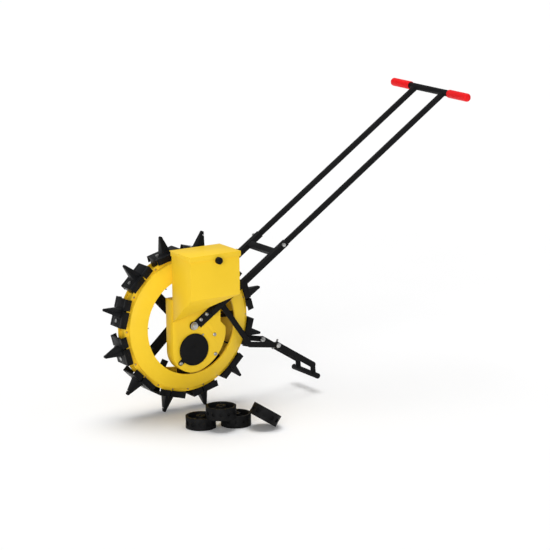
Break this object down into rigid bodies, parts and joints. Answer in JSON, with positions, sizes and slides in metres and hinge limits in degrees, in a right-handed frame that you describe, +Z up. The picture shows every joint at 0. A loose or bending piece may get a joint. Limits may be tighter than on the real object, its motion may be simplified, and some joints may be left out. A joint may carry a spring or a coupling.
{
  "type": "dial seed sower",
  "caption": "Walk-behind rolling seeder: a drum ringed with sprung opening beaks, a side hopper over a metering roller, a telescoping T-handle, a drag stand and spare rollers.",
  "frame": {"origin": "on the ground under the middle of the whole set's bounding box", "axes": "+X from the wheel towards the handle, +Y towards the side away from the hopper, +Z up; the wheel's axle runs along Y"},
  "size_m": [1.1052, 0.5248, 0.8409],
  "materials": {
    "yellow": "satin powder coat",
    "black": "satin powder coat",
    "black_handle": "satin powder coat",
    "beak_black": "satin powder coat",
    "black_plastic": "moulded",
    "zinc": "bright zinc plate",
    "bronze": "plain sintered bush",
    "red_rubber": "soft satin"
  },
  "bodies": {
    "frame": {"axle": "zinc", "axle_bolts": "zinc", "fork_frame": "black", "clamp_screws": "zinc", "seed_housing": "yellow", "housing_screws": "zinc", "hopper": "yellow", "lid_pin": "zinc", "rear_brackets": "black", "pivot_bolts": "zinc"},
    "wheel": {"drum_cover_near": "yellow", "drum_cover_far": "yellow", "rim_band": "yellow", "chamber_plates": "black_plastic", "spoke_cross": "black", "wheel_hub": "black", "hub_bushes": "bronze", "hub_gear": "black_plastic", "cover_screws": "zinc", "saddle_bolts": "zinc", "beak_hinge_pins": "zinc", "beak_springs": "zinc", "fixed_beak_01": "beak_black", "fixed_beak_02": "beak_black", "fixed_beak_03": "beak_black", "fixed_beak_04": "beak_black", "fixed_beak_05": "beak_black", "fixed_beak_06": "beak_black", "fixed_beak_07": "beak_black", "fixed_beak_08": "beak_black", "fixed_beak_09": "beak_black", "fixed_beak_10": "beak_black", "fixed_beak_11": "beak_black", "fixed_beak_12": "beak_black"},
    "flap_01": {"beak_flap_01": "beak_black"},
    "flap_02": {"beak_flap_02": "beak_black"},
    "flap_03": {"beak_flap_03": "beak_black"},
    "flap_04": {"beak_flap_04": "beak_black"},
    "flap_05": {"beak_flap_05": "beak_black"},
    "flap_06": {"beak_flap_06": "beak_black"},
    "flap_07": {"beak_flap_07": "beak_black"},
    "flap_08": {"beak_flap_08": "beak_black"},
    "flap_09": {"beak_flap_09": "beak_black"},
    "flap_10": {"beak_flap_10": "beak_black"},
    "flap_11": {"beak_flap_11": "beak_black"},
    "flap_12": {"beak_flap_12": "beak_black"},
    "handle": {"handle_frame": "black_handle", "grip_near": "red_rubber", "grip_far": "red_rubber"},
    "stand": {"drag_stand": "black"},
    "wing_nut": {"wing_nut": "zinc"},
    "lid": {"hopper_lid": "yellow"},
    "knob": {"lid_knob": "black_plastic"},
    "metering": {"seed_roller": "black_plastic", "drive_pinion": "black_plastic"},
    "roller_cover": {"roller_cover": "black"},
    "spare_1": {"spare_roller_1": "black_plastic"},
    "spare_2": {"spare_roller_2": "black_plastic"},
    "spare_3": {"spare_roller_3": "black_plastic"},
    "spare_4": {"spare_roller_4": "black_plastic"}
  },
  "joints": [
    {"name": "wheel_spin", "type": "hinge", "parent": "frame", "child": "wheel", "pos_m": [-0.3018, 0.0729, 0.25128], "axis": [0, 1, 0], "continuous": true},
    {"name": "flap_01_hinge", "type": "hinge", "parent": "wheel", "child": "flap_01", "pos_m": [-0.23771, 0.0729, 0.44219], "axis": [0, 1, 0], "range_deg": [0, 20], "stiffness_Nm_per_rad": 0.3, "springref_deg": -20.05, "deforming": ["beak_springs"]},
    {"name": "flap_02_hinge", "type": "hinge", "parent": "wheel", "child": "flap_02", "pos_m": [-0.15084, 0.0729, 0.38457], "axis": [0, 1, 0], "range_deg": [0, 20], "stiffness_Nm_per_rad": 0.3, "springref_deg": -20.05, "deforming": ["beak_springs"]},
    {"name": "flap_03_hinge", "type": "hinge", "parent": "wheel", "child": "flap_03", "pos_m": [-0.10442, 0.0729, 0.29123], "axis": [0, 1, 0], "range_deg": [0, 20], "stiffness_Nm_per_rad": 0.3, "springref_deg": -20.05, "deforming": ["beak_springs"]},
    {"name": "flap_04_hinge", "type": "hinge", "parent": "wheel", "child": "flap_04", "pos_m": [-0.11089, 0.0729, 0.18718], "axis": [0, 1, 0], "range_deg": [0, 20], "stiffness_Nm_per_rad": 0.3, "springref_deg": -20.05, "deforming": ["beak_springs"]},
    {"name": "flap_05_hinge", "type": "hinge", "parent": "wheel", "child": "flap_05", "pos_m": [-0.16852, 0.0729, 0.10031], "axis": [0, 1, 0], "range_deg": [0, 20], "stiffness_Nm_per_rad": 0.3, "springref_deg": -20.05, "deforming": ["beak_springs"]},
    {"name": "flap_06_hinge", "type": "hinge", "parent": "wheel", "child": "flap_06", "pos_m": [-0.26186, 0.0729, 0.05389], "axis": [0, 1, 0], "range_deg": [0, 20], "stiffness_Nm_per_rad": 0.3, "springref_deg": -20.05, "deforming": ["beak_springs"]},
    {"name": "flap_07_hinge", "type": "hinge", "parent": "wheel", "child": "flap_07", "pos_m": [-0.3659, 0.0729, 0.06036], "axis": [0, 1, 0], "range_deg": [0, 20], "stiffness_Nm_per_rad": 0.3, "springref_deg": -20.05, "deforming": ["beak_springs"]},
    {"name": "flap_08_hinge", "type": "hinge", "parent": "wheel", "child": "flap_08", "pos_m": [-0.45277, 0.0729, 0.11799], "axis": [0, 1, 0], "range_deg": [0, 20], "stiffness_Nm_per_rad": 0.3, "springref_deg": -20.05, "deforming": ["beak_springs"]},
    {"name": "flap_09_hinge", "type": "hinge", "parent": "wheel", "child": "flap_09", "pos_m": [-0.49919, 0.0729, 0.21133], "axis": [0, 1, 0], "range_deg": [0, 20], "stiffness_Nm_per_rad": 0.3, "springref_deg": -20.05, "deforming": ["beak_springs"]},
    {"name": "flap_10_hinge", "type": "hinge", "parent": "wheel", "child": "flap_10", "pos_m": [-0.49272, 0.0729, 0.31537], "axis": [0, 1, 0], "range_deg": [0, 20], "stiffness_Nm_per_rad": 0.3, "springref_deg": -20.05, "deforming": ["beak_springs"]},
    {"name": "flap_11_hinge", "type": "hinge", "parent": "wheel", "child": "flap_11", "pos_m": [-0.4351, 0.0729, 0.40224], "axis": [0, 1, 0], "range_deg": [0, 20], "stiffness_Nm_per_rad": 0.3, "springref_deg": -20.05, "deforming": ["beak_springs"]},
    {"name": "flap_12_hinge", "type": "hinge", "parent": "wheel", "child": "flap_12", "pos_m": [-0.34175, 0.0729, 0.44866], "axis": [0, 1, 0], "range_deg": [0, 20], "stiffness_Nm_per_rad": 0.3, "springref_deg": -20.05, "deforming": ["beak_springs"]},
    {"name": "metering_spin", "type": "hinge", "parent": "frame", "child": "metering", "pos_m": [-0.3018, 0.0729, 0.18328], "axis": [0, 1, 0], "continuous": true},
    {"name": "cover_swing", "type": "hinge", "parent": "frame", "child": "roller_cover", "pos_m": [-0.3453, 0.0729, 0.14938], "axis": [0, 1, 0], "range_deg": [0, 100]},
    {"name": "lid_hinge", "type": "hinge", "parent": "frame", "child": "lid", "pos_m": [-0.2893, 0.0199, 0.46628], "axis": [-1, 0, 0], "range_deg": [0, 95]},
    {"name": "knob_turn", "type": "hinge", "parent": "lid", "child": "knob", "pos_m": [-0.28181, -0.0901, 0.45428], "axis": [0, 1, 0], "continuous": true},
    {"name": "handle_slide", "type": "slide", "parent": "frame", "child": "handle", "axis": [0.8231, 0, 0.5678], "range_m": [-0.095, 0.1]},
    {"name": "stand_pivot", "type": "hinge", "parent": "frame", "child": "stand", "pos_m": [-0.0188, 0.0729, 0.15178], "axis": [0, 1, 0], "range_deg": [-70, 22]},
    {"name": "wing_nut_turn", "type": "hinge", "parent": "frame", "child": "wing_nut", "pos_m": [-0.0188, 0.0349, 0.15178], "axis": [0, 1, 0], "continuous": true},
    {"name": "spare_1_slide", "type": "slide", "parent": "frame", "child": "spare_1", "axis": [-1, 0, 0], "range_m": [0, 0.25]},
    {"name": "spare_2_slide", "type": "slide", "parent": "frame", "child": "spare_2", "axis": [0, 1, 0], "range_m": [0, 0.06]},
    {"name": "spare_3_slide", "type": "slide", "parent": "frame", "child": "spare_3", "axis": [0, 0, 1], "range_m": [0, 0.2]},
    {"name": "spare_4_slide", "type": "slide", "parent": "frame", "child": "spare_4", "axis": [0.9932, -0.1167, 0], "range_m": [0, 0.25]}
  ],
  "couplings": [
    {"joint": "metering_spin", "follows": "wheel_spin", "ratio": -1}
  ]
}
